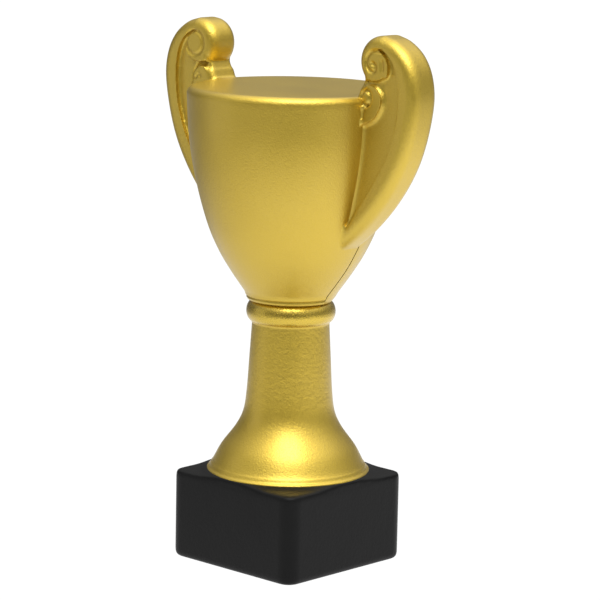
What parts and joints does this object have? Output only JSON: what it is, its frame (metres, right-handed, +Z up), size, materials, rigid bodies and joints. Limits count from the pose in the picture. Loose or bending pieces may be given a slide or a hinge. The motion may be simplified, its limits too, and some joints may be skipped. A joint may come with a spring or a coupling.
{
  "type": "cup trophy",
  "caption": "Closed two-handled cup on a waisted pedestal with a bell foot and a square black plinth; scrolled solid-web handles. Free-standing award.",
  "frame": {"origin": "centre of the plinth's flat underside, on the surface that the trophy stands on", "axes": "+Z up along the cup's axis, -Y to the front, +X to the right-hand handle seen from the front"},
  "size_m": [0.086, 0.0536, 0.1349],
  "materials": {
    "gold_paint": "satin metallic gold paint on moulded foam",
    "black_paint": "satin black paint on moulded foam"
  },
  "bodies": {
    "root": {"plinth": "black_paint", "pedestal": "gold_paint", "collar_ring": "gold_paint", "cup_front_half": "gold_paint", "cup_rear_half": "gold_paint", "handle_band_left": "gold_paint", "handle_band_right": "gold_paint", "handle_web_left": "gold_paint", "handle_web_right": "gold_paint", "lower_scroll_left": "gold_paint", "lower_scroll_right": "gold_paint"}
  },
  "joints": []
}
